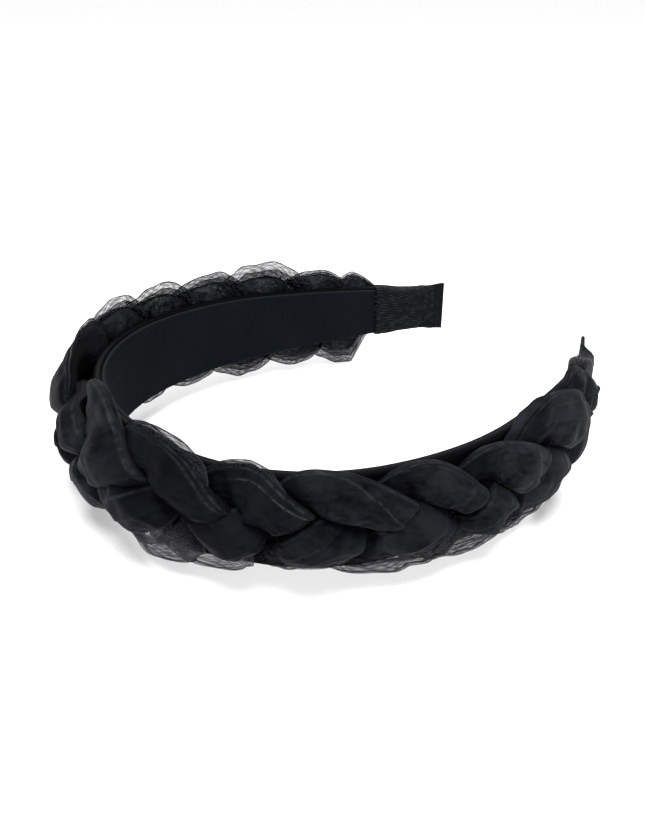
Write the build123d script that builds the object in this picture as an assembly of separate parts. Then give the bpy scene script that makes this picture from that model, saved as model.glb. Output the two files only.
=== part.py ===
from build123d import *
from math import cos, floor, hypot, pi, radians, sin
import os

os.makedirs("parts", exist_ok=True)

# A stiff hair band, wrapped in satin and lined, with three puffed strands of sheer cloth
# braided over its outside and a ribbon wrapped round each tip. It lies on its side:
# +X runs from the crown to the tips, and +Z is across the band.
# All sizes are in millimetres. Places along the band are lengths on its inner face from
# the crown: minus on the left leg (+Y), plus on the right leg (-Y).

# The band and its lining
half_length = 184.0
crown_width = 26.4
leg_width = 25.6
leg_width_share = 0.43
wrap_start_width = 18.0
core_thickness = 2.2
lining_thickness = 1.0
lining_inset = 0.6
layer_gap = 0.3

# The ribbon wrap round each tip
wrap_length = 25.5
ribbon_wall = 1.0
ribbon_gap = 0.3
wrap_waist_width = 15.6
wrap_waist_share = 0.43
wrap_end_flare = 1.4
wrap_bulge = 1.5
pinch_length = 4.0
tab_length = 4.5
tab_thickness = 1.2

# The braid
strand_width = 12.8
strand_thickness = 5.8
tucked_thickness = 3.6
crossing_gap = 1.2
braid_seat_gap = 0.4
wrap_overlap = 2.0
braid_climb_length = 16.0
braid_rise = 2.6
edge_squeeze = 0.35
lobe_reach = 6.0
lobe_thickness = 1.2
rings_per_step = 8

# The band's outline seen from +Z, from the crown to a tip, in tangent arcs:
# share of the half length, turn in degrees
outline_arcs = [
    (0.12, 16.0),
    (0.28, 58.0),
    (0.22, 29.0),
    (0.26, 11.0),
    (0.12, 15.0),
]

# Steps of a third of a turn of the braid, from its left end to its right end,
# each as a share of the mean step
braid_steps = [
    0.84, 1.00, 0.96, 0.98, 0.92, 0.96, 0.92, 0.97,
    0.94, 1.35, 0.74, 1.10, 1.02, 1.15, 1.33, 0.82,
]

# Form of the braid from its left end (-1) to its right end (1):
# share of the way, height share, width share, rise share
braid_form = [
    (-1.00, 0.38, 0.45, 0.00),
    (-0.94, 0.50, 0.90, -0.50),
    (-0.84, 0.72, 0.94, -0.20),
    (-0.65, 0.86, 0.97, 0.30),
    (-0.38, 1.25, 0.98, 0.30),
    (-0.15, 1.12, 0.94, 0.20),
    (0.06, 1.05, 0.87, 0.40),
    (0.20, 0.94, 0.80, 0.80),
    (0.45, 0.88, 0.78, 0.70),
    (0.65, 0.84, 0.88, -0.30),
    (0.80, 0.84, 0.95, -0.45),
    (0.88, 0.76, 0.98, -0.50),
    (0.95, 0.44, 0.74, -0.30),
    (1.00, 0.38, 0.45, 0.00),
]

# Reach of the puffed edge lobes, a row for each step from the braid's left end:
# upper reach share, lower reach share
edge_lobes = [
    (0.10, 0.90),
    (0.10, 0.50),
    (1.00, 0.40),
    (0.50, 0.60),
    (0.70, 0.40),
    (0.80, 0.40),
    (0.40, 0.80),
    (0.30, 0.60),
    (0.00, 1.00),
    (0.45, 0.70),
    (0.35, 0.20),
    (0.00, 0.60),
    (0.00, 0.50),
    (0.00, 0.60),
    (0.00, 0.70),
    (0.00, 0.20),
    (0.00, 0.00),
]

# Puffs across a strand: share of its half width, share of its half thickness
strand_puffs = [
    (-0.62, 0.70),
    (0.00, 1.00),
    (0.62, 0.70),
]

# Layers, outwards from the lining's inner face
core_inside = lining_thickness + layer_gap
core_outside = core_inside + core_thickness
wrap_outside = core_outside + ribbon_gap + ribbon_wall
wrap_start = half_length - wrap_length
pinch_start = half_length - tab_length - pinch_length
core_end = pinch_start - ribbon_gap
tab_inside = (wrap_outside - tab_thickness) / 4

# The weave of three even strands. A strand's turn is 90 degrees where it is highest
# across the band and 270 where it is lowest, and it lifts and dives once in each half turn.
strand_count = 3
step_turn = 360 / strand_count
first_turn = 60.0
lift_start, lift_end = 64.0, 113.0
dive_start, dive_end = 161.0, 189.0
edge_turn = 90.0
edge_span = 48.0
narrow_span = 60.0
lobe_span = 66.0
lobe_root = 0.35
weave_swing = 0.844 * strand_width
weave_step = 1.456 * strand_width
tucked_half_width = 0.29 * strand_width
edge_half_width = 0.46 * strand_width
edge_half_thickness = 0.57 * strand_thickness
edge_share = 0.9
braid_end = wrap_start + wrap_overlap


# Point and heading on the band's line, at a length along it and a height outwards
def station(along, out=0.0):
    x, y, heading = 0.0, 0.0, -pi / 2
    left = abs(along)
    for share, turn in outline_arcs:
        length = share * half_length
        radius = length / radians(turn)
        run = left if (share, turn) == outline_arcs[-1] else min(left, length)
        turned = run / radius
        x += radius * (sin(heading + turned) - sin(heading))
        y -= radius * (cos(heading + turned) - cos(heading))
        heading += turned
        left -= run
        if left <= 0:
            break
    x += out * sin(heading)
    y -= out * cos(heading)
    return (x, y) if along >= 0 else (x, -y)


# Lengths where one tangent arc of the outline meets the next, with both ends
def arc_cuts(start, end):
    cuts = [start, end]
    reach = 0.0
    for share, turn in outline_arcs[:-1]:
        reach += share * half_length
        cuts += [side * reach for side in (-1, 1) if start < side * reach < end]
    return sorted(cuts)


# Arcs that run along the band at one height
def band_arcs(start, end, out):
    cuts = arc_cuts(start, end)
    arcs = []
    for first, last in zip(cuts, cuts[1:]):
        middle = (first + last) / 2
        arcs.append(ThreePointArc(station(first, out), station(middle, out), station(last, out)))
    return arcs


# Solid between two heights along the band, taller than the band is wide
def layer(start, end, low, high):
    edges = band_arcs(start, end, low) + band_arcs(start, end, high)
    edges += [Line(station(place, low), station(place, high)) for place in (start, end)]
    return extrude(make_face(edges), amount=crown_width, both=True)


# Solid that trims a layer to the band's width, seen from its side
def band_trim(inset):
    crown = crown_width / 2 - inset
    leg = leg_width / 2 - inset
    tip = wrap_start_width / 2 - inset
    back = -2 * crown_width
    wrap_x = station(wrap_start)[0]
    leg_x = leg_width_share * wrap_x
    tip_x = wrap_x + 2 * wrap_length
    edges = []
    for side in (-1, 1):
        edges.append(Line((back, side * crown), (0, side * crown)))
        edges.append(ThreePointArc((0, side * crown), (leg_x, side * leg), (wrap_x, side * tip)))
        edges.append(Line((wrap_x, side * tip), (tip_x, side * tip)))
    edges.append(Line((back, -crown), (back, crown)))
    edges.append(Line((tip_x, -tip), (tip_x, tip)))
    return extrude(Plane.XZ * make_face(edges), amount=half_length, both=True)


# Solid that trims the ribbon wrap to its waist and its flare, seen from its side
def wrap_trim(inset):
    waist_length = wrap_waist_share * wrap_length
    start = station(wrap_start)[0] - waist_length / 2
    waist = station(wrap_start + waist_length)[0]
    middle = (start + waist) / 2
    flare = station(pinch_start)[0]
    tip = station(half_length)[0] + tab_thickness
    wide = wrap_start_width / 2 + ribbon_gap - inset
    narrow = wrap_waist_width / 2 - inset
    dip = (wide + 3 * narrow) / 4
    edges = [
        Line((start, -wide), (start, wide)),
        ThreePointArc((start, wide), (middle, dip), (waist, narrow)),
        Line((waist, narrow), (flare, narrow)),
        Line((flare, narrow), (tip, narrow + wrap_end_flare)),
        Line((tip, narrow + wrap_end_flare), (tip, -narrow)),
        Line((tip, -narrow), (waist, -narrow)),
        ThreePointArc((waist, -narrow), (middle, -dip), (start, -wide)),
    ]
    return extrude(Plane.XZ * make_face(edges), amount=half_length, both=True)


# Stiff core, narrower where the ribbon wraps it
def make_core():
    shoulder = wrap_start - layer_gap
    core = layer(-shoulder, shoulder, core_inside, core_outside) & band_trim(0)
    neck_trim = wrap_trim(ribbon_wall + ribbon_gap)
    for side in (-1, 1):
        places = sorted([side * (shoulder - ribbon_wall), side * core_end])
        core += layer(*places, core_inside, core_outside) & neck_trim
    return core


def make_lining():
    lining_end = wrap_start - layer_gap
    return layer(-lining_end, lining_end, 0, lining_thickness) & band_trim(lining_inset)


# Ribbon wrap of the right tip: a sleeve that bulges on both sides and is pinched flat at its end
def make_wrap():
    middle = (wrap_start + pinch_start) / 2
    tab_start = pinch_start + pinch_length
    tab_outside = tab_inside + tab_thickness
    edges = [ThreePointArc(station(wrap_start), station(middle, -wrap_bulge), station(pinch_start))]
    edges.append(Line(station(pinch_start), station(tab_start, tab_inside)))
    edges += band_arcs(tab_start, half_length, tab_inside)
    edges.append(Line(station(half_length, tab_inside), station(half_length, tab_outside)))
    edges += band_arcs(tab_start, half_length, tab_outside)
    edges.append(Line(station(tab_start, tab_outside), station(pinch_start, wrap_outside)))
    bulge = wrap_outside + wrap_bulge
    edges.append(ThreePointArc(station(pinch_start, wrap_outside), station(middle, bulge),
                               station(wrap_start, wrap_outside)))
    edges.append(Line(station(wrap_start, wrap_outside), station(wrap_start)))
    sleeve = extrude(make_face(edges), amount=crown_width, both=True) & wrap_trim(0)
    hollow = layer(wrap_start - ribbon_wall, pinch_start, core_inside - ribbon_gap, core_outside + ribbon_gap)
    return sleeve - (hollow & wrap_trim(ribbon_wall))


def ease(share):
    share = min(1.0, max(0.0, share))
    return share * share * (3 - 2 * share)


# Smooth rise and fall round zero, for an angle in degrees
def swell(angle, half_span):
    away = abs((angle + 180) % 360 - 180)
    return 0.5 + 0.5 * cos(pi * away / half_span) if away < half_span else 0.0


# Value of a table's column at a place, in straight lines between its rows
def look_up(table, place, column):
    for row, after in zip(table, table[1:]):
        if place <= after[0]:
            share = (place - row[0]) / (after[0] - row[0])
            return row[column] + (after[column] - row[column]) * share
    return table[-1][column]


# Place on the band after a number of steps of the braid, smooth over its uneven steps
def braid_place(steps):
    scale = 2 * braid_end / sum(braid_steps)
    knots = [-braid_end]
    for step in braid_steps:
        knots.append(knots[-1] + step * scale)
    last = len(braid_steps)
    number = max(0, min(last - 1, floor(steps)))
    share = steps - number
    first_slope = (knots[number + 1] - knots[max(0, number - 1)]) / (1 if number == 0 else 2)
    last_slope = (knots[min(last, number + 2)] - knots[number]) / (1 if number == last - 1 else 2)
    square, cube = share * share, share ** 3
    return (
        knots[number] * (2 * cube - 3 * square + 1)
        + knots[number + 1] * (3 * square - 2 * cube)
        + first_slope * (cube - 2 * square + share)
        + last_slope * (cube - square)
    )


# Height of the braid's underside above the lining's inner face
def braid_seat(along):
    on_band = core_outside + braid_seat_gap
    slack = 1 - 2 * wrap_overlap / (pinch_start - wrap_start)
    on_wrap = wrap_outside + wrap_bulge * (1 - slack * slack) + braid_seat_gap
    climb = (abs(along) - wrap_start) / braid_climb_length + 1
    return on_band + (on_wrap - on_band) * ease(climb)


# Share of the way from tucked under its neighbour (0) to lying over it (1)
def over_share(turn):
    half_turn = turn % 180
    if half_turn < lift_start:
        half_turn += 180
        return 1 - ease((half_turn - dive_start) / (dive_end - dive_start))
    lifted = ease((half_turn - lift_start) / (lift_end - lift_start))
    return lifted - ease((half_turn - dive_start) / (dive_end - dive_start))


# Half width, half thickness and middle height of a strand at a turn of its weave
def strand_section(turn):
    over = over_share(turn)
    from_edge = turn % 180 - edge_turn
    at_edge = edge_share * swell(from_edge, edge_span)
    half_width = tucked_half_width + (strand_width / 2 - tucked_half_width) * over
    half_width += (edge_half_width - half_width) * swell(from_edge, narrow_span)
    half_thickness = (tucked_thickness + (strand_thickness - tucked_thickness) * over) / 2
    middle = tucked_thickness / 2 + (crossing_gap + (tucked_thickness + strand_thickness) / 2) * over
    half_thickness += (edge_half_thickness - half_thickness) * at_edge
    middle += (edge_half_thickness - middle) * at_edge
    return half_width, half_thickness, middle


# Reach of a strand's upper (0) or lower (1) lobe after a number of steps
def lobe_size(number, steps, column):
    middle = edge_turn + 180 * column
    peak = number + (middle - first_turn) / step_turn
    peak += strand_count * round((steps - peak) / strand_count)
    row = max(0, min(len(edge_lobes) - 1, floor(peak)))
    return lobe_reach * edge_lobes[row][column] * swell(step_turn * (steps - peak), lobe_span)


# Points round a strand, over the top and back along the underside, after a number of steps
def strand_ring(number, steps):
    turn = first_turn + step_turn * (steps - number)
    middle_v = weave_swing * sin(radians(turn))
    slope = weave_swing * cos(radians(turn)) * radians(step_turn) / weave_step
    across_u, across_v = -slope / hypot(1, slope), 1 / hypot(1, slope)
    half_width, half_thickness, middle = strand_section(turn)
    upper = lobe_thickness / 2 + lobe_size(number, steps, 0)
    lower = lobe_thickness / 2 + lobe_size(number, steps, 1)
    outline = [(-half_width - lower, 0), (-half_width - lobe_root * lower, 0)]
    outline += [(across * half_width, puff) for across, puff in strand_puffs]
    outline += [(half_width + lobe_root * upper, 0), (half_width + upper, 0)]
    points = []
    for side in (1, -1):
        for across, puff in outline[::side]:
            height = middle + side * max(lobe_thickness / 2, puff * half_thickness)
            along = braid_place(steps + across_u * across / weave_step)
            points.append(braid_point(along, middle_v + across_v * across, height))
    return points


# Point of the braid on the band: it is lower at its edges, and follows the form's table
def braid_point(along, across, height):
    way = max(-1, min(1, along / braid_end))
    height_share, width_share, rise_share = (look_up(braid_form, way, column) for column in (1, 2, 3))
    edge = min(1, abs(across) / (weave_swing + edge_half_width))
    height *= height_share * (1 - edge_squeeze * edge * edge)
    x, y = station(along, braid_seat(along) + height)
    return Vector(x, y, across * width_share + braid_rise * rise_share)


# Closed solid of flat facets through all the rings of one strand
def make_strand(number):
    ring_count = len(braid_steps) * rings_per_step + 1
    rings = [strand_ring(number, ring / rings_per_step) for ring in range(ring_count)]
    size = len(rings[0])
    facets = []
    for ring, after in zip(rings, rings[1:]):
        for corner in range(size):
            beside = (corner + 1) % size
            facets.append((ring[corner], after[corner], after[beside]))
            facets.append((ring[corner], after[beside], ring[beside]))
    for ring, flip in ((rings[0], 1), (rings[-1], -1)):
        for corner in range(size // 2 - 1):
            quad = [ring[corner], ring[corner + 1], ring[size - 2 - corner], ring[size - 1 - corner]]
            facets.append(tuple(quad[:3])[::flip])
            facets.append((quad[0], quad[2], quad[3])[::flip])
    faces = [Face(Wire.make_polygon(facet, close=True)) for facet in facets]
    return Solid(Shell(faces))


right_wrap = make_wrap()
pieces = {
    "core_band": make_core(),
    "lining": make_lining(),
    "end_wrap_right": right_wrap,
    "end_wrap_left": mirror(right_wrap, about=Plane.XZ),
}
for number in range(strand_count):
    pieces[f"strand_{number + 1}"] = make_strand(number)

# The origin is below the middle of the whole piece, on the surface that it lies on
whole = Compound(list(pieces.values())).bounding_box()
origin = Vector(whole.center().X, whole.center().Y, whole.min.Z)
for name, piece in pieces.items():
    export_step(Pos(-origin) * piece, f"parts/{name}.step")
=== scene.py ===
import math
import bpy
import numpy as np
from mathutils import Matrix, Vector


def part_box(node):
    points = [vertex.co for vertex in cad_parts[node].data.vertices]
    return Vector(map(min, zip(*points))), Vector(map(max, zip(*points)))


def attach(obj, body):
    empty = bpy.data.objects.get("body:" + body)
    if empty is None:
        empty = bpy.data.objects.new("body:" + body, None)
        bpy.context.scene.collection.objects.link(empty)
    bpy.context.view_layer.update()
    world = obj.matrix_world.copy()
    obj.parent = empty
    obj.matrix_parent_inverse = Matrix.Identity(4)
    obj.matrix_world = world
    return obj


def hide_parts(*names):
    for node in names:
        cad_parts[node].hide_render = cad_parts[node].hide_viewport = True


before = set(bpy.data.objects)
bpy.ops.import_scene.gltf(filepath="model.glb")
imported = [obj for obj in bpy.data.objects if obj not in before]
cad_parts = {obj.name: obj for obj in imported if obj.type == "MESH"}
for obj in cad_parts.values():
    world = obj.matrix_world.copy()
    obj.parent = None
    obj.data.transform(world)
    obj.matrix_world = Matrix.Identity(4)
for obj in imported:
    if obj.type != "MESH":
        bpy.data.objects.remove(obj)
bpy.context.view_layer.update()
mm = 0.001
print("frame loaded")

# The line of the band, in millimetres, as the solids have it: lengths run along its
# inner face from the crown, minus on the left leg and plus on the right leg
bandLine = {
    "halfLength": 184.0,
    "arcs": [(0.12, 16.0), (0.28, 58.0), (0.22, 29.0), (0.26, 11.0), (0.12, 15.0)],  # share, degrees
    "crownHalfWidth": 13.2,
    "legHalfWidth": 12.8,
    "legShare": 0.43,
    "wrapHalfWidth": 9.0,
    "wrapStart": 158.5,
    "liningThickness": 1.0,
    "coreInside": 1.3,
    "coreOutside": 3.5,
}
liningLow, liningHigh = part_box("lining")
crownX = liningLow.x / mm + bandLine["liningThickness"]
middleY = (liningLow.y + liningHigh.y) / 2 / mm
middleZ = (liningLow.z + liningHigh.z) / 2 / mm


# Places and headings on the band's line, for arrays of lengths along it and heights outwards
def station(along, out):
    along, out = np.broadcast_arrays(np.asarray(along, float), np.asarray(out, float))
    left = np.abs(along)
    x, y = np.zeros_like(left), np.zeros_like(left)
    heading = np.full_like(left, -math.pi / 2)
    lastArc = len(bandLine["arcs"]) - 1
    for number, (share, turn) in enumerate(bandLine["arcs"]):
        length = share * bandLine["halfLength"]
        radius = length / math.radians(turn)
        run = left if number == lastArc else np.minimum(left, length)
        turned = run / radius
        x = x + radius * (np.sin(heading + turned) - np.sin(heading))
        y = y - radius * (np.cos(heading + turned) - np.cos(heading))
        heading = heading + turned
        left = left - run
    x = x + out * np.sin(heading)
    y = y - out * np.cos(heading)
    return x, np.where(along >= 0, y, -y)


# Points in metres in the row's frame, from lengths, heights and widths in millimetres
def onBand(along, out, across):
    x, y = station(along, out)
    z = np.broadcast_to(np.asarray(across, float), x.shape)
    return np.stack([x + crownX, y + middleY, z + middleZ], axis=-1) * mm


def ease(share):
    share = np.clip(share, 0.0, 1.0)
    return share * share * (3 - 2 * share)


# Half width of the band, which narrows along the legs
def bandHalfWidth(along):
    wrapX = float(station(bandLine["wrapStart"], 0)[0])
    places = [0, bandLine["legShare"] * wrapX, wrapX]
    widths = [bandLine["crownHalfWidth"], bandLine["legHalfWidth"], bandLine["wrapHalfWidth"]]
    curve = np.polyfit(places, widths, 2)
    return np.polyval(curve, np.clip(station(along, 0)[0], 0, wrapX))


# Closed tube through rings of points, with a cloth map in centimetres. Its ends are filled,
# or joined to each other where the tube turns back inside itself
def tubeMesh(name, points, lengths, rounds, marks=None, joined=False):
    rings, around = points.shape[:2]
    index = np.arange(rings * around).reshape(rings, around)
    nextRing = np.roll(index, -1, axis=0) if joined else index[1:]
    thisRing = index if joined else index[:-1]
    beside, nextBeside = np.roll(thisRing, -1, axis=1), np.roll(nextRing, -1, axis=1)
    quads = np.stack([thisRing, beside, nextBeside, nextRing], axis=-1).reshape(-1, 4)
    flat = points.reshape(-1, 3)
    corner = flat[quads[:, 0]]
    volume = np.einsum("ij,ij->i", corner, np.cross(flat[quads[:, 1]], flat[quads[:, 2]])).sum()
    volume += np.einsum("ij,ij->i", corner, np.cross(flat[quads[:, 2]], flat[quads[:, 3]])).sum()
    faces = quads.tolist()
    firstColumn = np.tile(np.arange(around), len(thisRing))
    ends = np.empty((0, 3))
    if not joined:
        ends = np.stack([points[0].mean(axis=0), points[-1].mean(axis=0)])
        centres = [rings * around, rings * around + 1]
        faces += [[centres[0], int(b), int(a)] for a, b in zip(index[0], np.roll(index[0], -1))]
        faces += [[centres[1], int(a), int(b)] for a, b in zip(index[-1], np.roll(index[-1], -1))]
        firstColumn = np.concatenate([firstColumn, np.arange(around), np.arange(around)])
    if volume < 0:
        faces = [face[::-1] for face in faces]
    mesh = bpy.data.meshes.new(name)
    mesh.from_pydata(np.concatenate([flat, ends]).tolist(), [], faces)
    cloth = mesh.uv_layers.new(name="cloth")
    vertexOf = np.zeros(len(mesh.loops), int)
    mesh.loops.foreach_get("vertex_index", vertexOf)
    faceOf = np.repeat(np.arange(len(faces)), [len(face) for face in faces])
    ringOf = np.minimum(vertexOf // around, rings - 1)
    columnOf = vertexOf % around
    wraps = (columnOf == 0) & (firstColumn[faceOf] == around - 1)
    roundOf = np.append(rounds, rounds[0] + (rounds[-1] - rounds[0]) * around / (around - 1))
    uv = np.stack([lengths[ringOf], roundOf[np.where(wraps, around, columnOf)]], axis=-1)
    cloth.data.foreach_set("uv", uv.astype(np.float32).ravel())
    for mark, values in (marks or {}).items():
        attribute = mesh.attributes.new(mark, "FLOAT", "POINT")
        values = np.broadcast_to(values, points.shape[:2])
        full = np.concatenate([values.reshape(-1), [values[0].mean(), values[-1].mean()][:len(ends)]])
        attribute.data.foreach_set("value", full.astype(np.float32))
    mesh.polygons.foreach_set("use_smooth", np.ones(len(faces), bool))
    mesh.update()
    return mesh


def addPiece(name, mesh, materials):
    piece = bpy.data.objects.new(name, mesh)
    bpy.context.scene.collection.objects.link(piece)
    for material in materials:
        mesh.materials.append(material)
    return piece


# A new material with its shader, and short ways to add and join nodes
def newMaterial(name):
    material = bpy.data.materials.new(name)
    material.use_nodes = True
    return material, material.node_tree.nodes["Principled BSDF"]


def addNode(material, kind, inputs=None, **settings):
    node = material.node_tree.nodes.new(kind)
    for setting, value in settings.items():
        setattr(node, setting, value)
    for socket, value in (inputs or {}).items():
        if isinstance(value, bpy.types.NodeSocket):
            material.node_tree.links.new(value, node.inputs[socket])
        else:
            node.inputs[socket].default_value = value
    return node


def ramp(material, factor, low, high, lowColour, highColour):
    node = addNode(material, "ShaderNodeValToRGB", {"Fac": factor})
    node.color_ramp.elements[0].position = low
    node.color_ramp.elements[1].position = high
    node.color_ramp.elements[0].color = (*lowColour, 1)
    node.color_ramp.elements[1].color = (*highColour, 1)
    return node.outputs["Color"]


def mathNode(material, operation, first, second=0.0, third=0.0):
    node = addNode(material, "ShaderNodeMath", {0: first, 1: second, 2: third}, operation=operation)
    return node.outputs[0]


def mixColour(material, factor, first, second):
    node = addNode(material, "ShaderNodeMix", {"Factor": factor}, data_type="RGBA")
    for socket, value in ((node.inputs[6], first), (node.inputs[7], second)):
        if isinstance(value, bpy.types.NodeSocket):
            material.node_tree.links.new(value, socket)
        else:
            socket.default_value = (*value, 1)
    return node.outputs[2]


def readMark(material, mark):
    return addNode(material, "ShaderNodeAttribute", attribute_name=mark).outputs["Fac"]


def clothMap(material):
    return addNode(material, "ShaderNodeUVMap", uv_map="cloth").outputs["UV"]


def noise(material, place, scale, detail=3.0):
    inputs = {"Vector": place, "Scale": scale, "Detail": detail}
    return addNode(material, "ShaderNodeTexNoise", inputs).outputs["Fac"]


# Lines of a weave, by their pitch in the map's units
def weaveLines(material, place, pitch, direction, distortion=0.6):
    inputs = {"Vector": place, "Scale": 0.314 / pitch, "Distortion": distortion, "Detail": 1.0}
    return addNode(material, "ShaderNodeTexWave", inputs, bands_direction=direction).outputs["Fac"]


def setBump(material, shader, height, strength, distance):
    bump = addNode(material, "ShaderNodeBump", {"Height": height, "Strength": strength, "Distance": distance})
    material.node_tree.links.new(bump.outputs["Normal"], shader.inputs["Normal"])


def setGloss(shader, roughness, specular, sheen=0.0, sheenRoughness=0.4):
    shader.inputs["Roughness"].default_value = roughness
    shader.inputs["Specular IOR Level"].default_value = specular
    shader.inputs["Sheen Weight"].default_value = sheen
    shader.inputs["Sheen Roughness"].default_value = sheenRoughness


# Colours are linear, pitches in centimetres of cloth and widths of lines in millimetres. Scales are
# those of noise on the cloth's map
organza = {
    "dark": (0.0008, 0.0010, 0.0017),
    "light": (0.0122, 0.0133, 0.0163),
    # Colour of the painted glints: pale specks standing for light through the cloth
    "paintedGlint": (0.22, 0.23, 0.25),
    "frayed": (0.024, 0.026, 0.031),
    # Colour of the painted highlight along hems and fold lips
    "hemAndHighlight": (0.040, 0.042, 0.048),
    # Colour of the painted shade in tucked stretches, lip pockets and shaded stretches
    "shadeColour": (0.0006, 0.0007, 0.0010),
    "roughness": 0.58,
    "gloss": 0.026,
    "sheen": 0.006,
    "smallMottle": 5.0,
    "broadMottle": 1.1,
    "mottleShare": 0.7,
    "frayedScale": 6.5,
    "speckleScale": 8.0,
    "glintScale": 17.0,
    "glintPatches": 2.6,
    "glintInside": 0.35,
    "creaseScale": 3.2,
    "weaveRelief": 0.02,
    "threadPitch": 0.055,
    "highlightWidth": 0.20,
    "hemPlace": 0.34,
    "hemHighlight": 0.26,
    "sheerTone": (0.0085, 0.0095, 0.0115),
    "sheerRoughness": 0.55,
    "sheerGloss": 0.08,
    "sheerAlpha": 0.46,
    "moireDepth": 0.34,
    "windowDepth": 0.20,
    "grainDepth": 0.16,
    "rimDepth": 0.55,
    "thinner": 0.14,
    "moirePitch": 0.085,
}


# Thin line of painted highlight where a mark in millimetres passes a place
def lineAt(material, mark, place, width, light):
    away = mathNode(material, "SUBTRACT", readMark(material, mark), place)
    spread = mathNode(material, "MULTIPLY", mathNode(material, "MULTIPLY", away, away), -1 / width ** 2)
    return mathNode(material, "MULTIPLY", mathNode(material, "EXPONENT", spread), light)


# Sheer cloth where many layers lie on each other, so that nothing shows through
def makeDenseOrganza():
    material, shader = newMaterial("denseOrganza")
    place = clothMap(material)
    small = noise(material, place, organza["smallMottle"], 6.0)
    broad = noise(material, place, organza["broadMottle"], 4.0)
    mottle = mathNode(material, "MULTIPLY_ADD", small, organza["mottleShare"], broad)
    tone = ramp(material, mottle, 0.62, 1.04, organza["dark"], organza["light"])
    frayed = noise(material, place, organza["frayedScale"], 5.0)
    frayed = ramp(material, frayed, 0.42, 0.62, (0, 0, 0), (1, 1, 1))
    frayed = mathNode(material, "MULTIPLY", frayed, readMark(material, "loose"))
    tone = mixColour(material, frayed, tone, organza["frayed"])
    # Painted shade: darker colour where strands tuck under, below fold lips and along shaded stretches
    tone = mixColour(material, readMark(material, "depth"), tone, organza["shadeColour"])
    # Painted highlights: lighter lines along the hem and along each fold's lip, broken into dashes
    lines = lineAt(material, "fromEdge", organza["hemPlace"], organza["highlightWidth"], organza["hemHighlight"])
    for slot in ("One", "Two"):
        light = readMark(material, "light" + slot)
        line = lineAt(material, "fold" + slot, 0.0, organza["highlightWidth"], light)
        lines = mathNode(material, "ADD", lines, line)
    speckle = noise(material, place, organza["speckleScale"], 4.0)
    speckle = ramp(material, speckle, 0.38, 0.60, (0.15, 0.15, 0.15), (1, 1, 1))
    lines = mathNode(material, "MULTIPLY", lines, speckle)
    lines = addNode(material, "ShaderNodeClamp", {"Value": lines}).outputs[0]
    tone = mixColour(material, lines, tone, organza["hemAndHighlight"])
    # Painted glints: pale specks in the colour on loose cloth, most near the edges
    speck = noise(material, place, organza["glintScale"], 2.0)
    speck = ramp(material, speck, 0.60, 0.66, (0, 0, 0), (1, 1, 1))
    patch = noise(material, place, organza["glintPatches"], 2.0)
    patch = ramp(material, patch, 0.48, 0.58, (0, 0, 0), (1, 1, 1))
    speck = mathNode(material, "MULTIPLY", speck, patch)
    speck = mathNode(material, "MULTIPLY", speck, readMark(material, "loose"))
    nearEdge = mathNode(material, "MULTIPLY_ADD", readMark(material, "fromEdge"), -0.35, 1.25)
    nearEdge = addNode(material, "ShaderNodeClamp", {"Value": nearEdge, "Min": organza["glintInside"]})
    speck = mathNode(material, "MULTIPLY", speck, nearEdge.outputs[0])
    tone = mixColour(material, speck, tone, organza["paintedGlint"])
    material.node_tree.links.new(tone, shader.inputs["Base Color"])
    warp = weaveLines(material, place, organza["threadPitch"], "X")
    weft = weaveLines(material, place, organza["threadPitch"], "Y")
    weave = mathNode(material, "ADD", warp, weft)
    creases = noise(material, place, organza["creaseScale"], 5.0)
    relief = mathNode(material, "MULTIPLY_ADD", weave, organza["weaveRelief"], creases)
    setBump(material, shader, relief, 0.6, 0.0006)
    setGloss(shader, organza["roughness"], organza["gloss"], organza["sheen"])
    return material


# One layer of the same cloth, which shows light through its weave
def makeSheerOrganza():
    material, shader = newMaterial("sheerOrganza")
    place = clothMap(material)
    moire = weaveLines(material, place, organza["moirePitch"], "DIAGONAL", 7.0)
    window = ramp(material, noise(material, place, 2.2, 4.0), 0.36, 0.64, (0, 0, 0), (1, 1, 1))
    thinnest = organza["sheerAlpha"] - organza["moireDepth"] / 2
    alpha = mathNode(material, "MULTIPLY_ADD", moire, organza["moireDepth"], thinnest)
    alpha = mathNode(material, "MULTIPLY_ADD", window, organza["windowDepth"], alpha)
    alpha = mathNode(material, "MULTIPLY_ADD", noise(material, place, 16.0), organza["grainDepth"], alpha)
    alpha = mathNode(material, "MULTIPLY_ADD", readMark(material, "rim"), organza["rimDepth"], alpha)
    alpha = mathNode(material, "MULTIPLY_ADD", readMark(material, "thin"), -organza["thinner"], alpha)
    limited = addNode(material, "ShaderNodeClamp", {"Value": alpha})
    material.node_tree.links.new(limited.outputs[0], shader.inputs["Alpha"])
    tone = mixColour(material, readMark(material, "rim"), organza["sheerTone"], organza["light"])
    material.node_tree.links.new(tone, shader.inputs["Base Color"])
    setBump(material, shader, noise(material, place, 4.0), 0.5, 0.0005)
    setGloss(shader, organza["sheerRoughness"], organza["sheerGloss"])
    return material


liningFinish = {
    "dark": (0.0030, 0.0042, 0.0056),
    "light": (0.0042, 0.0056, 0.0072),
    # Lighter colour along the hems: a painted highlight on the folded edge
    "hemAndHighlight": (0.009, 0.010, 0.012),
    "roughness": 0.85,
    "gloss": 0.04,
}


def makeLiningCloth():
    material, shader = newMaterial("liningCloth")
    place = addNode(material, "ShaderNodeTexCoord").outputs["Object"]
    tone = ramp(material, noise(material, place, 45.0), 0.3, 0.7, liningFinish["dark"], liningFinish["light"])
    # Painted highlight along the lining's hems
    tone = mixColour(material, readMark(material, "hemAndHighlight"), tone, liningFinish["hemAndHighlight"])
    material.node_tree.links.new(tone, shader.inputs["Base Color"])
    setBump(material, shader, noise(material, place, 2600.0), 0.25, 0.0002)
    setGloss(shader, liningFinish["roughness"], liningFinish["gloss"])
    return material


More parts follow.
